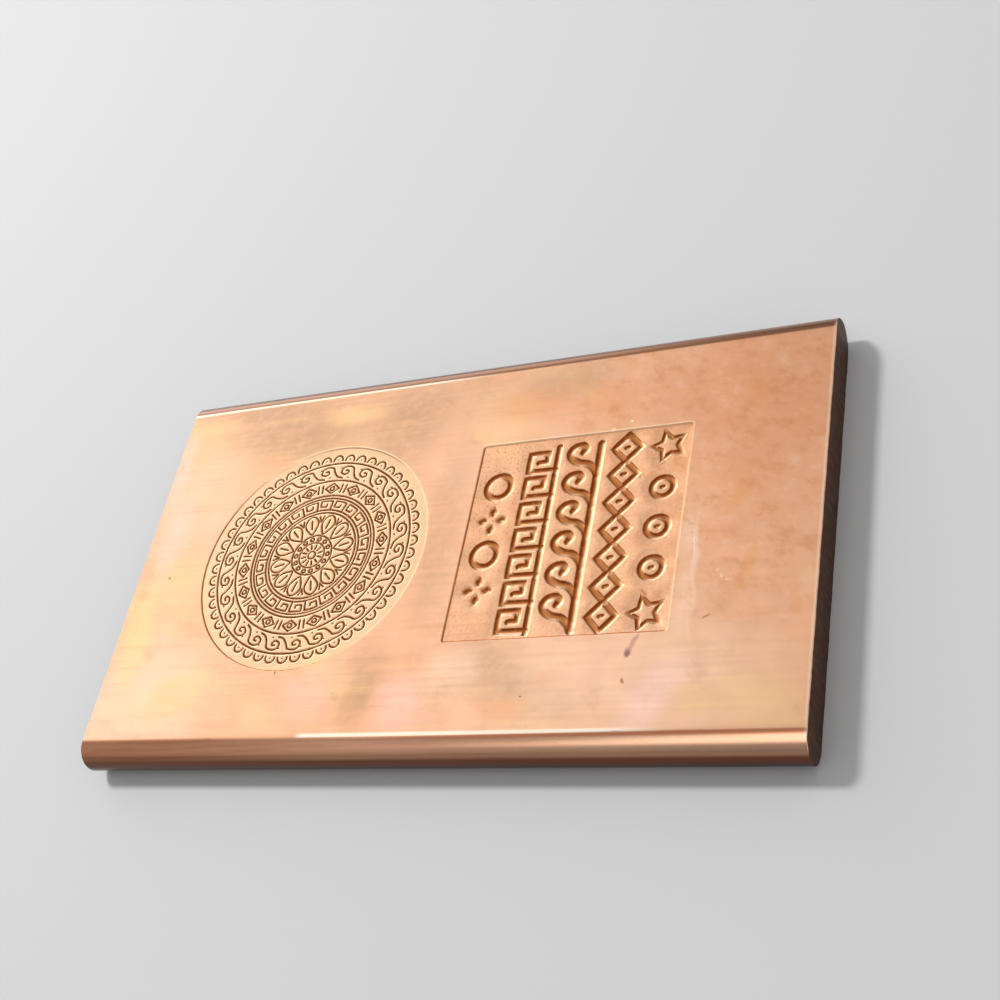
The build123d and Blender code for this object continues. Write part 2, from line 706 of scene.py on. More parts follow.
def end_cap(parts, stations_y, side):
    """An end face and the small chamfer round it."""
    x_face = side * LENGTH / 2
    x_body = side * (LENGTH / 2 - END_BREAK)
    inner = end_rows(stations_y, END_BREAK)
    outer = end_rows(stations_y, 0)
    face = [[(x_face, y, z) for y, z in row] for row in inner]
    ring_in = [(x_face, y, z) for y, z in outline_of(inner)]
    ring_out = [(x_body, y, z) for y, z in outline_of(outer)]
    ring_in.append(ring_in[0])
    ring_out.append(ring_out[0])
    chamfer = [ring_out, ring_in]
    if side > 0:
        face = face[::-1]
        chamfer = chamfer[::-1]
    parts.add_grid(face)
    parts.add_grid(chamfer)


def end_stations(half, step, support):
    """Stations along half a length each way, with close ones next to both ends."""
    count = int(round(2 * half / step))
    inner = np.linspace(-half + support, half - support, count)
    return np.concatenate([[-half], inner, [half]])


def cut_end_wander(y):
    """How far in the sheared left end lies, across the bar, with its steps and two nicks."""
    lean = 0.12 / (1 + np.exp((y - 10) / 3.0))
    step = 0.07 / (1 + np.exp(-(y - 3.0) / 0.2)) + 0.05 / (1 + np.exp(-(y + 11.0) / 0.2))
    nicks = 0.1 * np.exp(-((y - 6.3) / 0.5) ** 2) + 0.12 * np.exp(-((y + 23.0) / 0.35) ** 2)
    ripple = 0.02 * np.sin(y * 1.7) + 0.02 * np.sin(y * 4.3 + 1.0)
    return np.clip(lean + 0.1 - step + nicks + ripple, 0, 1)


def wander(vertices):
    """The small departures from a true bar: the sheared end and the edge of the flat."""
    x, y, z = vertices.T
    x, y = x.copy(), y.copy()
    near_left = np.clip(1 - (x + LENGTH / 2) / 3.0, 0, 1)
    x += near_left * cut_end_wander(y)
    near_right = np.clip(1 - (LENGTH / 2 - x) / 2.0, 0, 1)
    x -= near_right * (0.03 + 0.015 * np.sin(y * 0.9) + 0.015 * np.sin(y * 3.1))
    upper = z > EDGE_RADIUS
    into_edge = 1 - np.clip((-y - HALF_FLAT) / EDGE_RADIUS, 0, 1)
    over_flat = np.clip((-y - HALF_FLAT + 6) / 6, 0, 1)
    shift = 0.28 * np.exp(-((x + 2) / 26) ** 2) * into_edge * over_flat ** 2
    y -= np.where(upper, shift, 0)
    return np.stack([x, y, z], 1)


def uneven(x, y):
    """The slight waves of the rolled face, at or below zero."""
    wave = np.sin(x * 0.21 + 1.3 * np.sin(y * 0.13)) + np.sin(y * 0.27 + 0.7 * np.sin(x * 0.17 + 1))
    wave += 0.5 * np.sin(x * 0.55 + y * 0.34) + 0.5 * np.sin(y * 0.71 - x * 0.28 + 2)
    inset = np.minimum(LENGTH / 2 - END_BREAK - np.abs(x), HALF_FLAT - np.abs(y))
    fade = np.clip(inset / 2, 0, 1)
    fade = fade * fade * (3 - 2 * fade)
    return -0.008 * (3 + wave) * fade


def build_bar():
    strokes = medallion_strokes() + panel_strokes()
    pockets = pocket_outlines()
    stations_x = end_stations(LENGTH / 2 - END_BREAK, STATION, 0.3)
    stations_y = end_stations(HALF_FLAT, STATION, 0.3)
    parts = MeshParts()

    flat, triangles = triangulate_upper_face(stations_x, stations_y, strokes, pockets)
    depth, shade, painted_highlight = upper_face_depth(flat, strokes, pockets)
    upper = np.column_stack([flat, THICKNESS - depth + uneven(flat[:, 0], flat[:, 1])])
    parts.add(upper, triangles, shade, painted_highlight)

    side_strip(parts, stations_x, 1)
    side_strip(parts, stations_x, -1)
    under = [[(x, y, 0) for x in stations_x] for y in stations_y[::-1]]
    parts.add_grid(under)
    end_cap(parts, stations_y, 1)
    end_cap(parts, stations_y, -1)
    return parts


def crease_lines(vertices):
    """A number for each vertex on a line that stays crisp in the shading, and 0 elsewhere."""
    x, y, z = vertices.T
    top = z > THICKNESS - 0.5
    flat = vertices[:, :2]
    radial = np.linalg.norm(flat - np.array(MEDALLION_CENTER), axis=1)
    in_panel = panel_distance(flat)
    tight = 0.02
    crease = np.zeros(len(vertices), int)
    lines = (
        np.abs(radial - MEDALLION_RADIUS) < tight,
        np.abs(radial - MEDALLION_RADIUS + MEDALLION_WALL) < tight,
        np.abs(in_panel) < tight,
        np.abs(in_panel - PANEL_WALL) < tight,
    )
    for number, on_line in enumerate(lines, 1):
        crease[on_line & top] = number
    crease[np.abs(np.abs(x) - (LENGTH / 2 - END_BREAK)) < 1e-3] = 5
    crease[np.abs(np.abs(x) - LENGTH / 2) < 1e-3] = 6
    return crease


def keep_crisp(mesh, crease):
    """Marks as sharp the edges that run along a crease line."""
    pairs = np.empty(len(mesh.edges) * 2, np.int32)
    mesh.edges.foreach_get("vertices", pairs)
    one, other = crease[pairs.reshape(-1, 2)].T
    sharp = mesh.attributes.get("sharp_edge") or mesh.attributes.new("sharp_edge", "BOOLEAN", "EDGE")
    marks = np.zeros(len(mesh.edges), bool)
    sharp.data.foreach_get("value", marks)
    sharp.data.foreach_set("value", marks | ((one == other) & (one > 0)))


def surface_values(vertices, shade, painted_highlight):
    """The values on the mesh that the copper's finish, painted shade and painted highlight read, each 0 to
    1.
    """
    flat = vertices[:, :2]
    on_top = vertices[:, 2] > THICKNESS - 1
    in_medallion = MEDALLION_RADIUS - np.linalg.norm(flat - np.array(MEDALLION_CENTER), axis=1)
    return {
        "groove": shade,
        "painted_highlight": painted_highlight,
        "panel": on_top & (panel_distance(flat) > 0.1),
        "medallion": on_top & (in_medallion > 0.1),
        "cut": np.abs(vertices[:, 0]) > LENGTH / 2 - 1e-3,
    }


def make_mesh(name, parts):
    """Welds the parts into one closed mesh, in metres."""
    vertices = np.vstack(parts.vertices)
    keys = np.round(vertices, 4) + 0.0
    _, first, inverse = np.unique(keys, axis=0, return_index=True, return_inverse=True)
    inverse = np.asarray(inverse).reshape(-1)
    faces = []
    for face in parts.faces:
        ring = [int(inverse[i]) for i in face]
        ring = [v for k, v in enumerate(ring) if v != ring[k - 1]]
        if len(set(ring)) > 2:
            faces.append(ring)
    placed = wander(vertices[first]) * MM
    mesh = bpy.data.meshes.new(name)
    mesh.from_pydata(placed.tolist(), [], faces)
    mesh.validate()
    shade, painted_highlight = np.concatenate(parts.shade), np.concatenate(parts.painted_highlight)
    for label, values in surface_values(vertices[first], shade[first], painted_highlight[first]).items():
        attribute = mesh.attributes.new(label, "FLOAT", "POINT")
        attribute.data.foreach_set("value", values.astype(np.float32))
    mesh.polygons.foreach_set("use_smooth", [True] * len(mesh.polygons))
    mesh.set_sharp_from_angle(angle=math.radians(60))
    keep_crisp(mesh, crease_lines(vertices[first]))
    piece = bpy.data.objects.new(name, mesh)
    bpy.context.scene.collection.objects.link(piece)
    return piece


class Nodes:
    """Short calls for the shader nodes that the copper needs. Places and sizes are in millimetres."""

    def __init__(self, material):
        material.use_nodes = True
        self.tree = material.node_tree
        self.shader = self.tree.nodes["Principled BSDF"]
        place = self.new("ShaderNodeTexCoord").outputs["Object"]
        scale = self.new("ShaderNodeVectorMath")
        scale.operation = "SCALE"
        scale.inputs["Scale"].default_value = 1 / MM
        self.join(place, scale.inputs[0])
        self.place = scale.outputs[0]
        split = self.new("ShaderNodeSeparateXYZ")
        self.join(self.place, split.inputs[0])
        self.x, self.y, self.z = split.outputs

    def new(self, kind):
        return self.tree.nodes.new(kind)

    def join(self, value, socket):
        """Links an output, or sets a plain number, colour or vector."""
        if isinstance(value, bpy.types.NodeSocket):
            self.tree.links.new(value, socket)
        elif isinstance(value, tuple) and socket.type == "RGBA":
            socket.default_value = (*value, 1.0)
        else:
            socket.default_value = value

    def math(self, operation, a, b=0.0):
        node = self.new("ShaderNodeMath")
        node.operation = operation
        self.join(a, node.inputs[0])
        self.join(b, node.inputs[1])
        return node.outputs[0]

    def step(self, value, start, end, low=0.0, high=1.0):
        """A smooth change from low to high as the value goes from start to end."""
        node = self.new("ShaderNodeMapRange")
        node.interpolation_type = "SMOOTHSTEP"
        self.join(value, node.inputs["Value"])
        self.join(float(start), node.inputs["From Min"])
        self.join(float(end), node.inputs["From Max"])
        self.join(float(low), node.inputs["To Min"])
        self.join(float(high), node.inputs["To Max"])
        return node.outputs["Result"]

    def scaled(self, scales, turn=0.0, offset=(0.0, 0.0, 0.0), vector=None):
        """The place, moved by the offset, turned about Z and then scaled along each axis."""
        node = self.new("ShaderNodeMapping")
        node.vector_type = "TEXTURE"
        self.join(vector or self.place, node.inputs["Vector"])
        self.join(offset, node.inputs["Location"])
        self.join((0.0, 0.0, math.radians(turn)), node.inputs["Rotation"])
        self.join(tuple(1.0 / s for s in scales), node.inputs["Scale"])
        return node.outputs["Vector"]

    def noise(self, vector, detail=2.0, roughness=0.5, distortion=0.0):
        node = self.new("ShaderNodeTexNoise")
        self.join(vector, node.inputs["Vector"])
        self.join(1.0, node.inputs["Scale"])
        self.join(detail, node.inputs["Detail"])
        self.join(roughness, node.inputs["Roughness"])
        self.join(distortion, node.inputs["Distortion"])
        return node.outputs["Fac"]

    def specks(self, per_mm, size, share, z_scale=1.0):
        """Small round dots, in a share of the cells of a grid with per_mm cells to the millimetre."""
        node = self.new("ShaderNodeTexVoronoi")
        self.join(self.scaled((per_mm, per_mm, per_mm * z_scale)), node.inputs["Vector"])
        self.join(1.0, node.inputs["Scale"])
        dot = self.step(node.outputs["Distance"], size * per_mm, size * per_mm * 0.45)
        pick = self.new("ShaderNodeSeparateColor")
        self.join(node.outputs["Color"], pick.inputs[0])
        chosen = self.math("LESS_THAN", pick.outputs[0], share)
        return self.math("MULTIPLY", dot, chosen)

    def blob(self, center, sizes, turn=0.0, soft=0.75):
        """1 at the centre of an uneven oval on the upper face, falling to 0 outside it."""
        oval = self.scaled((1 / sizes[0], 1 / sizes[1], 1e-6), turn, (*center, 0.0), self.warped)
        length = self.new("ShaderNodeVectorMath")
        length.operation = "LENGTH"
        self.join(oval, length.inputs[0])
        return self.step(length.outputs["Value"], 1 + soft * 0.5, 1 - soft)

    def mix(self, factor, a, b, blend="MIX"):
        node = self.new("ShaderNodeMix")
        node.data_type = "RGBA"
        node.blend_type = blend
        self.join(factor, node.inputs["Factor"])
        self.join(a, node.inputs[6])
        self.join(b, node.inputs[7])
        return node.outputs[2]

    def mix_value(self, factor, a, b):
        node = self.new("ShaderNodeMix")
        self.join(factor, node.inputs["Factor"])
        self.join(a, node.inputs["A"])
        self.join(b, node.inputs["B"])
        return node.outputs[0]

    def attribute(self, name):
        node = self.new("ShaderNodeAttribute")
        node.attribute_name = name
        return node.outputs["Fac"]

    def bump(self, height, distance, normal=None):
        """A bump, whose distance is the height that 0 to 1 stands for, in millimetres."""
        node = self.new("ShaderNodeBump")
        self.join(distance * MM, node.inputs["Distance"])
        self.join(height, node.inputs["Height"])
        if normal:
            self.join(normal, node.inputs["Normal"])
        return node.outputs["Normal"]


# Colours of the copper, its tarnish, and the painted shade and highlights on it, as linear light
COPPER = (0.86, 0.46, 0.27)
PINK = (0.95, 0.55, 0.42)
YELLOW = (0.93, 0.58, 0.29)
ORANGE = (0.84, 0.38, 0.16)
SMOKE = (0.52, 0.31, 0.18)
SALMON = (0.82, 0.38, 0.20)
PALE = (0.95, 0.64, 0.46)
LILAC = (0.97, 0.64, 0.55)
# Pale wear, and painted glints along the flat's edges
WEAR_AND_GLINT = (1.0, 0.85, 0.68)
STAMPED_GOLD = (1.0, 0.74, 0.43)
# The stamps' painted highlight, and the grooves' dirt with painted shade
STAMP_HIGHLIGHT = (1.0, 0.82, 0.54)
BOLD_RUST_AND_SHADE = (0.52, 0.18, 0.045)
BOLD_GRIME_AND_SHADE = (0.26, 0.05, 0.008)
FINE_RUST_AND_SHADE = (0.42, 0.125, 0.01)
FINE_GRIME_AND_SHADE = (0.09, 0.014, 0.0005)
MOTTLE = (0.71, 0.31, 0.135)
SAND = (0.46, 0.21, 0.10)
EDGE_COPPER = (0.84, 0.44, 0.27)
# Lighter and deeper tones of the near edge, for painted highlight and painted shade
EDGE_BRIGHT = (0.95, 0.56, 0.36)
EDGE_DEEP = (0.90, 0.36, 0.19)
EDGE_BROWN = (0.55, 0.235, 0.125)
FAR_BROWN = (0.21, 0.10, 0.055)
# Painted shade for the lower part of the round edges
UNDER_BROWN = (0.15, 0.055, 0.03)
UNDER_DARK = (0.075, 0.027, 0.016)
UNDERSIDE = (0.46, 0.22, 0.13)
# The cut ends, near-black as painted shade
CUT_BROWN = (0.08, 0.036, 0.022)
CUT_STREAK = (0.16, 0.075, 0.045)

# Patches of tarnish and painted reflection on the upper face: colour, strength, centre, half sizes, and
# turn in degrees
TARNISH_AND_REFLECTIONS = (
    # The right end is a duller salmon, with orange runs across it
    (SALMON, 0.8, (44, 17), (14, 20), 0),
    (SALMON, 0.35, (45, -6), (9, 10), 0),
    (SALMON, 0.5, (17, 22), (9, 4), -6),
    (SALMON, 0.5, (27, 20), (8, 5), 0),
    (ORANGE, 0.6, (43.6, 18), (1.0, 5.5), 10),
    (ORANGE, 0.6, (42.1, 4.6), (1.1, 4.0), -16),
    (ORANGE, 0.5, (38.0, 22.7), (2.2, 1.2), 20),
    (ORANGE, 0.55, (49.3, 14.8), (1.2, 2.6), -10),
    (ORANGE, 0.6, (44.0, -7.5), (0.9, 3.4), -14),
    (ORANGE, 0.45, (50.3, -12.4), (0.9, 2.0), 0),
    (ORANGE, 0.4, (9.2, 22.3), (6.0, 3.6), 0),
    # Smoky bands beside the round stamp and below the square one
    (SMOKE, 0.45, (-7.0, -19.5), (3.8, 6.5), 14),
    (SMOKE, 0.4, (-8.2, -24.5), (2.6, 4.5), -12),
    (SMOKE, 0.6, (12.0, -20.0), (7.5, 4.4), -34),
    (SMOKE, 0.5, (18.5, -24.4), (7.0, 2.6), -18),
    (ORANGE, 0.5, (14.4, -25.3), (3.6, 2.0), 0),
    (ORANGE, 0.55, (19.2, -21.4), (2.2, 1.0), 30),
    # A brown haze over the far left, between yellow streaks
    (SMOKE, 0.6, (-31.0, 21.8), (14.5, 5.8), -8),
    (SMOKE, 0.5, (-37.5, 27.6), (9.5, 2.4), 0),
    (SMOKE, 0.35, (-28.0, 18.5), (4.5, 5.5), 0),
    (SMOKE, 0.55, (-10.5, 20.5), (7.0, 8.5), 0),
    (SMOKE, 0.4, (15.5, 25.8), (7.5, 3.6), 0),
    (SMOKE, 0.35, (-20.0, 26.0), (36.0, 7.0), 0),
    (SMOKE, 0.4, (-0.5, 0.0), (3.5, 17.0), 0),
    (YELLOW, 0.6, (-20.7, 24.6), (5.5, 2.0), 0),
    (YELLOW, 0.5, (-46.6, 26.0), (4.2, 1.6), 0),
    # Pink and yellow at the near left, over a paler field, partly painted highlight
    (PALE, 0.65, (-44.0, -22.0), (14.0, 10.5), 0),
    (PALE, 0.3, (-44.0, 11.0), (9.0, 9.0), 0),
    (LILAC, 0.5, (-51.6, 18.0), (2.0, 8.0), 0),
    (PINK, 0.8, (-48.2, 5.0), (3.2, 8.5), 0),
    (PINK, 0.5, (-15.3, -22.5), (4.5, 4.5), 0),
    (PINK, 0.8, (-0.8, -24.2), (4.5, 4.5), 0),
    (YELLOW, 0.8, (-49.0, -12.0), (2.8, 11.0), 6),
    (YELLOW, 0.7, (-38.0, -22.0), (7.0, 4.0), 20),
    (YELLOW, 0.5, (-44.0, -3.0), (4.0, 5.0), 0),
    # Pale, pink and yellow at the near right, partly painted highlight
    (PALE, 0.4, (29.0, -22.0), (20.0, 10.0), 0),
    (LILAC, 0.55, (34.0, -24.2), (3.0, 6.2), -30),
    (YELLOW, 0.5, (46.0, -24.5), (5.5, 3.0), 0),
    (YELLOW, 0.45, (39.4, -24.8), (3.6, 2.4), 0),
    (PALE, 0.6, (35.8, -1.8), (1.5, 3.2), 0),
    (PALE, 0.5, (36.4, -11.5), (1.2, 5.5), 0),
    (ORANGE, 0.55, (37.3, -9.8), (0.7, 2.6), 0),
    (PALE, 0.5, (6.0, -20.0), (4.0, 4.0), 0),
    (WEAR_AND_GLINT, 0.3, (37.2, -8.0), (0.5, 8.5), 3),
    (WEAR_AND_GLINT, 0.4, (36.6, -3.6), (0.16, 3.2), 2),
)

# Single marks: colour, centre, half sizes and turn
MARKS = (
    ((0.24, 0.10, 0.10), (30.0, -18.2), (0.5, 0.75), -20),
    ((0.58, 0.31, 0.24), (30.6, -16.8), (0.4, 1.2), -22),
    ((0.36, 0.17, 0.10), (29.7, -22.5), (0.2, 0.6), 20),
    ((0.48, 0.23, 0.12), (39.8, -13.7), (0.6, 0.2), 35),
    (PALE, (41.0, -8.3), (0.16, 0.5), 25),
    (PALE, (41.8, -9.0), (0.3, 0.14), 10),
    (PALE, (40.3, -7.4), (0.14, 0.3), -20),
    ((0.22, 0.10, 0.06), (16.3, -23.7), (0.16, 0.16), 0),
    ((0.25, 0.12, 0.07), (-22.0, -18.9), (0.14, 0.5), 8),
    ((0.30, 0.15, 0.09), (-46.3, -2.5), (0.3, 0.2), 0),
    (WEAR_AND_GLINT, (23.3, 15.75), (0.35, 0.25), 30),
    (WEAR_AND_GLINT, (25.6, 17.0), (0.25, 0.2), 0),
)


class Masks:
    """Where on the bar each finish, painted shade and painted highlight lies: 0 to 1 values for the
    copper's colour and roughness.
    """

    def __init__(self, n):
        beyond = n.math("SUBTRACT", n.math("ABSOLUTE", n.y), HALF_FLAT)
        self.groove = n.attribute("groove")
        self.painted_highlight = n.attribute("painted_highlight")
        self.panel = n.attribute("panel")
        self.medallion = n.attribute("medallion")
        self.far = n.step(n.y, -1, 1)
        self.near = n.math("SUBTRACT", 1.0, self.far)
        self.edge = n.step(beyond, 0.0, 0.35)
        self.high = n.step(n.z, EDGE_RADIUS * 1.5, EDGE_RADIUS * 1.68)
        # Painted shade: the round edges grow darker towards the bottom
        self.low = n.math("MULTIPLY", self.edge, n.step(n.z, EDGE_RADIUS * 1.78, EDGE_RADIUS * 1.38))
        self.lowest = n.math("MULTIPLY", self.edge, n.step(n.z, EDGE_RADIUS * 1.35, EDGE_RADIUS))
        self.underside = n.step(n.z, 0.6, 0.1)
        # A band just below the flat at the near right, which takes a deeper tone as painted shade
        below_flat = n.math("MULTIPLY", n.step(beyond, 0.0, 0.15), n.step(beyond, 0.95, 0.6))
        toward_right = n.math("MULTIPLY", self.near, n.step(n.x, -10, 20))
        self.near_band = n.math("MULTIPLY", below_flat, toward_right)

        # Painted highlights: bright lines where the flat meets the round edges, standing in for glints
        bright = n.math("MULTIPLY", n.step(beyond, -0.35, -0.05), n.step(beyond, 0.42, 0.2))
        near_run = n.math("MULTIPLY", n.step(n.x, -16.2, -14.6), n.step(n.x, 38, 26))
        self.near_line = n.math("MULTIPLY", bright, n.math("MULTIPLY", self.near, near_run))
        far_run = n.math("MULTIPLY", n.step(n.x, 6, -8), 0.8)
        thin = n.math("MULTIPLY", n.step(beyond, -0.15, 0.0), n.step(beyond, 0.4, 0.2))
        self.far_line = n.math("MULTIPLY", thin, n.math("MULTIPLY", self.far, far_run))
        # Painted shade: a thin dark line just inside the far edge, towards the left
        inside = n.math("MULTIPLY", n.step(beyond, -0.62, -0.48), n.step(beyond, -0.28, -0.42))
        inside = n.math("MULTIPLY", inside, n.step(n.x, -24, -34, 0, 0.6))
        self.far_shade_line = n.math("MULTIPLY", inside, self.far)

        # The sheared faces of the ends, which take a near-black colour as painted shade, and the rim of
        # the right one, painted pale as a highlight
        on_top = n.step(n.z, THICKNESS - 0.35, THICKNESS - 0.15)
        off_top = n.math("SUBTRACT", 1.0, on_top)
        self.cut = n.math("MULTIPLY", n.attribute("cut"), off_top)
        self.rim = n.math("MULTIPLY", n.step(n.x, LENGTH / 2 - 0.5, LENGTH / 2 - 0.2), on_top)


def rolled_copper(n, streaks):
    """The bare metal: copper that drifts from pink to yellow, with faint streaks along the bar, under
    patches of tarnish and painted reflection.
    """
    colour = n.mix(n.step(n.noise(n.scaled((0.07,) * 3)), 0.35, 0.68), COPPER, (0.86, 0.49, 0.31))
    golden = n.step(n.noise(n.scaled((0.11, 0.05, 0.1), 55)), 0.5, 0.78, 0, 0.5)
    colour = n.mix(golden, colour, YELLOW)
    grainy = n.step(n.noise(n.scaled((0.45, 0.7, 0.5), 20), 6.0, 0.68), 0.3, 0.65, 0.65, 1.15)
    for tint, strength, center, sizes, turn in TARNISH_AND_REFLECTIONS:
        amount = n.math("MULTIPLY", n.blob(center, sizes, turn), strength)
        if tint is SMOKE:
            amount = n.math("MULTIPLY", amount, grainy)
        colour = n.mix(amount, colour, tint)
    right = n.math("MULTIPLY", n.step(n.x, 6, 26), n.step(n.y, -20, -6))
    cloud = n.noise(n.scaled((0.28, 0.16, 0.2), 38), 5.0, 0.62)
    colour = n.mix(n.step(cloud, 0.52, 0.8, 0, 0.42), colour, n.mix(right, SMOKE, MOTTLE))
    colour = n.mix(n.step(cloud, 0.46, 0.25, 0, 0.25), colour, PALE)
    mottle = n.noise(n.scaled((0.5, 0.3, 0.4), 62), 5.0, 0.66)
    colour = n.mix(n.math("MULTIPLY", right, n.step(mottle, 0.47, 0.7, 0, 0.6)), colour, MOTTLE)
    colour = n.mix(n.math("MULTIPLY", right, n.step(mottle, 0.45, 0.28, 0, 0.3)), colour, PALE)
    left = n.step(n.x, 0, 22, 1.0, 0.25)
    colour = n.mix(n.math("MULTIPLY", left, n.step(streaks, 0.5, 0.78, 0, 0.2)), colour, SMOKE)
    return n.mix(n.math("MULTIPLY", left, n.step(streaks, 0.48, 0.25, 0, 0.2)), colour, YELLOW)


def stamped_copper(n, masks, colour):
    """The speckled floor of the square stamp, the dirt and painted shade in the grooves of both, and the
    painted highlight on their bright walls and lips.
    """
    stipple = n.noise(n.scaled((2.6, 2.6, 2.6)), 2.0, 0.6)
    dull = n.step(stipple, 0.42, 0.66, 0.1, 0.6)
    colour = n.mix(n.math("MULTIPLY", masks.panel, dull), colour, ORANGE)
    shiny = n.step(stipple, 0.44, 0.3, 0, 0.35)
    colour = n.mix(n.math("MULTIPLY", masks.panel, shiny), colour, YELLOW)
    colour = n.mix(n.math("MULTIPLY", masks.medallion, 0.28), colour, STAMPED_GOLD)
    sandy = n.math("MULTIPLY", n.step(n.x, 17, 6, 0.25, 0.8), n.step(n.y, -6, 10, 0.5, 1.0))
    sand = n.math("MULTIPLY", n.specks(2.3, 0.15, 0.55), n.math("MULTIPLY", masks.panel, sandy))
    colour = n.mix(sand, colour, SAND)
    # The grooves' reddish and dark colours are dirt and painted shade
    rust_and_shade = n.mix(masks.panel, FINE_RUST_AND_SHADE, BOLD_RUST_AND_SHADE)
    grime_and_shade = n.mix(masks.panel, FINE_GRIME_AND_SHADE, BOLD_GRIME_AND_SHADE)
    patchy = n.step(n.noise(n.scaled((0.9, 0.9, 0.9)), 2.0, 0.6), 0.3, 0.55, 0.72, 1.0)
    groove = n.math("MULTIPLY", masks.groove, patchy)
    colour = n.mix(n.step(groove, 0.03, 0.35, 0, 0.9), colour, rust_and_shade)
    colour = n.mix(n.step(groove, 0.3, 0.9, 0, 0.97), colour, grime_and_shade)
    # Painted highlight on the grooves' bright walls and the stamps' lips
    return n.mix(n.math("MULTIPLY", masks.painted_highlight, 0.75), colour, STAMP_HIGHLIGHT)


def pits_and_marks(n, colour):
    colour = n.mix(n.specks(0.42, 0.085, 0.35), colour, (0.36, 0.18, 0.10))
    colour = n.mix(n.specks(0.9, 0.05, 0.2), colour, (0.42, 0.22, 0.13))
    colour = n.mix(n.math("MULTIPLY", n.specks(0.33, 0.07, 0.2), 0.7), colour, (0.98, 0.80, 0.62))
    for tint, center, sizes, turn in MARKS:
        colour = n.mix(n.math("MULTIPLY", n.blob(center, sizes, turn, 0.6), 0.85), colour, tint)
    return colour


def edges_and_ends(n, masks, colour):
    """Browner round edges, with painted highlight and painted shade along them, dark below as painted
    shade, a brown underside, and the sheared faces of the ends, near-black as painted shade, with a
    painted highlight on the right end's rim.
    """
    lines = n.step(n.noise(n.scaled((0.05, 1.1, 1.1)), 4.0, 0.65), 0.4, 0.75, 0, 0.4)
    # The near edge is browner towards the left end and lighter towards the right, painted shade and
    # painted highlight over brown streaks of its own
    left = n.step(n.x, -6, -40, 0, 0.75)
    brown = n.math("ADD", left, n.math("MULTIPLY", lines, n.step(n.x, 14, 36, 1.0, 0.3)))
    near = n.mix(n.step(n.x, 4, 32), EDGE_COPPER, EDGE_BRIGHT)
    near = n.mix(brown, near, EDGE_BROWN)
    # Painted shade: a deeper band just below the flat at the near right
    near = n.mix(masks.near_band, near, EDGE_DEEP)
    far = n.mix(n.math("ADD", lines, 0.45), EDGE_COPPER, EDGE_BROWN)
    far_high = n.mix(n.step(n.x, -10, 45, 0, 0.4), FAR_BROWN, EDGE_BROWN)
    far = n.mix(masks.high, far, far_high)
    colour = n.mix(masks.edge, colour, n.mix(masks.far, near, far))
    # Painted shade: darker towards the bottom of the round edges
    colour = n.mix(masks.low, colour, UNDER_BROWN)
    colour = n.mix(masks.lowest, colour, UNDER_DARK)
    # Painted highlight lines along the flat's edges, and a painted dark line inside the far one
    colour = n.mix(masks.near_line, colour, WEAR_AND_GLINT)
    colour = n.mix(masks.far_line, colour, WEAR_AND_GLINT)
    colour = n.mix(masks.far_shade_line, colour, SMOKE)
    stain = n.noise(n.scaled((0.08, 0.2, 1.0)), 4.0, 0.6)
    below = n.mix(n.step(stain, 0.4, 0.7), UNDERSIDE, EDGE_BROWN)
    colour = n.mix(masks.underside, colour, below)
    # Painted shade: the cut ends are near-black brown, streaked by the shear
    shear = n.noise(n.scaled((0.3, 2.2, 0.35)), 3.0, 0.7)
    colour = n.mix(masks.cut, colour, n.mix(n.step(shear, 0.4, 0.75), CUT_BROWN, CUT_STREAK))
    # Painted highlight: the right end's rim is painted pale
    return n.mix(n.math("MULTIPLY", masks.rim, 0.65), colour, PALE)


def warp_place(n):
    """The place, pushed about by noise, so that ovals drawn in it have uneven outlines."""
    noise = n.new("ShaderNodeTexNoise")
    n.join(n.scaled((0.16, 0.16, 0.16)), noise.inputs["Vector"])
    n.join(1.0, noise.inputs["Scale"])
    n.join(3.0, noise.inputs["Detail"])
    shift = n.new("ShaderNodeVectorMath")
    shift.operation = "MULTIPLY_ADD"
    n.join(noise.outputs["Color"], shift.inputs[0])
    n.join((2.2, 2.2, 0.0), shift.inputs[1])
    n.join((-1.1, -1.1, 0.0), shift.inputs[2])
    total = n.new("ShaderNodeVectorMath")
    n.join(n.place, total.inputs[0])
    n.join(shift.outputs[0], total.inputs[1])
    return total.outputs[0]


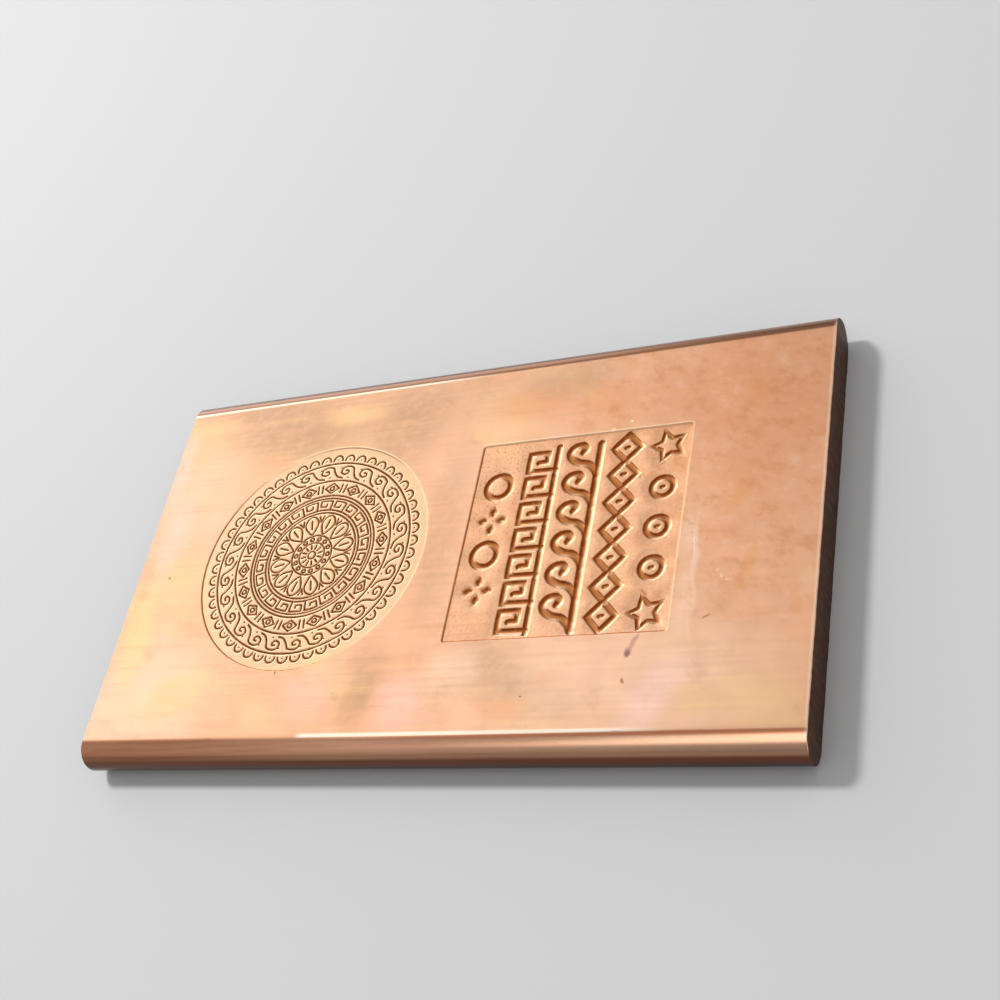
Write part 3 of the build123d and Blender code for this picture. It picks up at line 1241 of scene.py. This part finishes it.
def copper_material():
    material = bpy.data.materials.new("copper")
    n = Nodes(material)
    n.warped = warp_place(n)
    masks = Masks(n)
    streaks = n.noise(n.scaled((0.05, 1.4, 0.5)), 2.0, 0.55)
    colour = pits_and_marks(n, rolled_copper(n, streaks))
    colour = edges_and_ends(n, masks, stamped_copper(n, masks, colour))
    n.join(colour, n.shader.inputs["Base Color"])
    n.shader.inputs["Metallic"].default_value = 1.0

    haze = n.noise(n.scaled((0.2, 0.35, 0.3)), 3.0)
    rough = n.step(haze, 0.3, 0.75, 0.29, 0.36)
    rough = n.math("ADD", rough, n.step(streaks, 0.3, 0.7, -0.005, 0.04))
    rough = n.math("ADD", rough, n.math("MULTIPLY", masks.groove, 0.15))
    rough = n.mix_value(masks.edge, rough, 0.22)
    rough = n.math("ADD", rough, n.math("MULTIPLY", masks.cut, 0.3))
    n.join(rough, n.shader.inputs["Roughness"])

    smoother_right = n.step(n.x, -5, 25, 1.0, 0.15)
    brushed = n.noise(n.scaled((0.04, 1.9, 0.5)), 1.0, 0.5)
    normal = n.bump(n.math("MULTIPLY", brushed, smoother_right), 0.0018)
    grain = n.noise(n.scaled((3.0, 3.0, 3.0)), 3.0, 0.7)
    normal = n.bump(n.math("MULTIPLY", grain, masks.panel), 0.026, normal)
    normal = n.bump(n.noise(n.scaled((1.2, 1.6, 1.4)), 4.0, 0.7), 0.005, normal)
    shear = n.noise(n.scaled((0.4, 3.0, 0.5)), 4.0, 0.7)
    normal = n.bump(n.math("MULTIPLY", shear, masks.cut), 0.08, normal)
    n.join(normal, n.shader.inputs["Normal"])
    return material


bar = make_mesh("copper_bar", build_bar())
bar.data.materials.append(copper_material())
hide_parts("bar")
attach(bar, "root")
print("triangles", sum(len(p.vertices) - 2 for p in bar.data.polygons), "vertices", len(bar.data.vertices))


# Floor, light and camera

def make_floor():
    mesh = bpy.data.meshes.new("floor")
    size = 8.0
    corners = [(-size, -size, 0), (size, -size, 0), (size, size, 0), (-size, size, 0)]
    mesh.from_pydata(corners, [], [(0, 1, 2, 3)])
    floor = bpy.data.objects.new("floor", mesh)
    bpy.context.scene.collection.objects.link(floor)
    material = bpy.data.materials.new("floor")
    material.use_nodes = True
    shader = material.node_tree.nodes["Principled BSDF"]
    shader.inputs["Base Color"].default_value = (0.46, 0.46, 0.46, 1)
    shader.inputs["Roughness"].default_value = 0.9
    shader.inputs["Specular IOR Level"].default_value = 0.0
    mesh.materials.append(material)


def make_world():
    world = bpy.data.worlds.new("studio")
    bpy.context.scene.world = world
    world.use_nodes = True
    nodes, links = world.node_tree.nodes, world.node_tree.links
    background = nodes["Background"]
    background.inputs["Color"].default_value = (1, 1, 1, 1)
    place = nodes.new("ShaderNodeTexCoord")
    part = nodes.new("ShaderNodeSeparateXYZ")
    links.new(place.outputs["Generated"], part.inputs[0])

    def smooth(value, start, end, brightness):
        step = nodes.new("ShaderNodeMapRange")
        step.interpolation_type = "SMOOTHSTEP"
        step.inputs["From Min"].default_value = start
        step.inputs["From Max"].default_value = end
        step.inputs["To Max"].default_value = brightness
        links.new(value, step.inputs["Value"])
        return step.outputs["Result"]

    def lobe(direction, start, end, brightness):
        dot = nodes.new("ShaderNodeVectorMath")
        dot.operation = "DOT_PRODUCT"
        dot.inputs[1].default_value = Vector(direction).normalized()
        links.new(place.outputs["Generated"], dot.inputs[0])
        return smooth(dot.outputs["Value"], start, end, brightness)

    def combine(operation, a, b):
        node = nodes.new("ShaderNodeMath")
        node.operation = operation
        for socket, value in zip(node.inputs, (a, b)):
            if isinstance(value, float):
                socket.default_value = value
            else:
                links.new(value, socket)
        return node.outputs["Value"]

    def weighted(value, weight):
        return combine("MULTIPLY", value, weight)

    east, north, height = part.outputs
    # A broad soft light on the far left, cut off straight, so that the near edge stays dark
    main = (-0.85, 0.15, 0.5)
    broad = combine("ADD", lobe(main, 0.42, 0.88, 0.8), lobe(main, 0.86, 1.0, 0.7))
    broad = combine("ADD", broad, lobe((-0.38, 0.37, 0.85), 0.975, 1.0, 0.75))
    across = combine("SUBTRACT", north, weighted(east, 0.5))
    total = weighted(broad, smooth(across, 0.43, 0.58, 1.0))
    # A weaker sky at the near left, and a window at the near side with slanted edges
    sky = weighted(smooth(east, -0.3, -0.6, 0.3), smooth(north, 0.25, -0.1, 1.0))
    total = combine("ADD", total, weighted(sky, smooth(height, 0.1, 0.4, 1.0)))
    window = weighted(smooth(east, -0.56, -0.3, 1.3), smooth(east, 0.1, -0.1, 1.0))
    slant = combine("SUBTRACT", north, weighted(east, 2.5))
    window = weighted(window, smooth(slant, 0.74, 0.6, 1.0))
    window = weighted(window, smooth(north, 0.1, -0.04, 1.0))
    total = combine("ADD", total, weighted(window, smooth(north, -0.72, -0.5, 1.0)))
    # A low light behind on the far left, which shows in the groove walls
    total = combine("ADD", total, lobe((-0.66, 0.74, 0.14), 0.9, 0.97, 2.0))
    # Weaker lights for the sides that this view doesn't show: right, near right, above, and
    # a paler horizon
    total = combine("ADD", total, smooth(east, -0.25, 0.15, 0.35))
    total = combine("ADD", total, lobe((0.75, -0.6, 0.28), 0.7, 1.0, 0.5))
    total = combine("ADD", total, lobe((0.1, -0.1, 1.0), 0.9, 1.0, 0.3))
    total = combine("ADD", total, smooth(height, 0.22, 0.0, 0.3))
    total = combine("ADD", total, 0.25)
    links.new(total, background.inputs["Strength"])


def make_key():
    """A soft lamp from the far left, whose shadow falls to the near right."""
    lamp = bpy.data.lights.new("key", "AREA")
    lamp.shape = "DISK"
    lamp.size = 0.12
    lamp.energy = 4.0
    key = bpy.data.objects.new("key", lamp)
    toward = Vector((-0.513, 0.276, 0.813))
    key.location = toward * 0.7
    key.rotation_euler = toward.to_track_quat("Z", "Y").to_euler()
    key.visible_glossy = False
    bpy.context.scene.collection.objects.link(key)


def make_camera():
    """The photograph's view, from its edges and vanishing points."""
    camera = bpy.data.objects.new("camera", bpy.data.cameras.new("camera"))
    camera.data.sensor_width = 36.0
    camera.data.lens = 51.93
    forward = Vector((-0.44712, 0.519776, -0.727953)).normalized()
    upward = Vector((0.088243, 0.835496, 0.542364))
    right = forward.cross(upward).normalized()
    upward = right.cross(forward)
    turn = Matrix((right, upward, -forward)).transposed().to_4x4()
    camera.matrix_world = Matrix.Translation((0.096068, -0.096661, 0.150259)) @ turn
    camera.data.clip_start = 0.005
    bpy.context.scene.collection.objects.link(camera)
    bpy.context.scene.camera = camera


make_floor()
make_world()
make_key()
make_camera()
bpy.context.scene.view_settings.view_transform = "Standard"
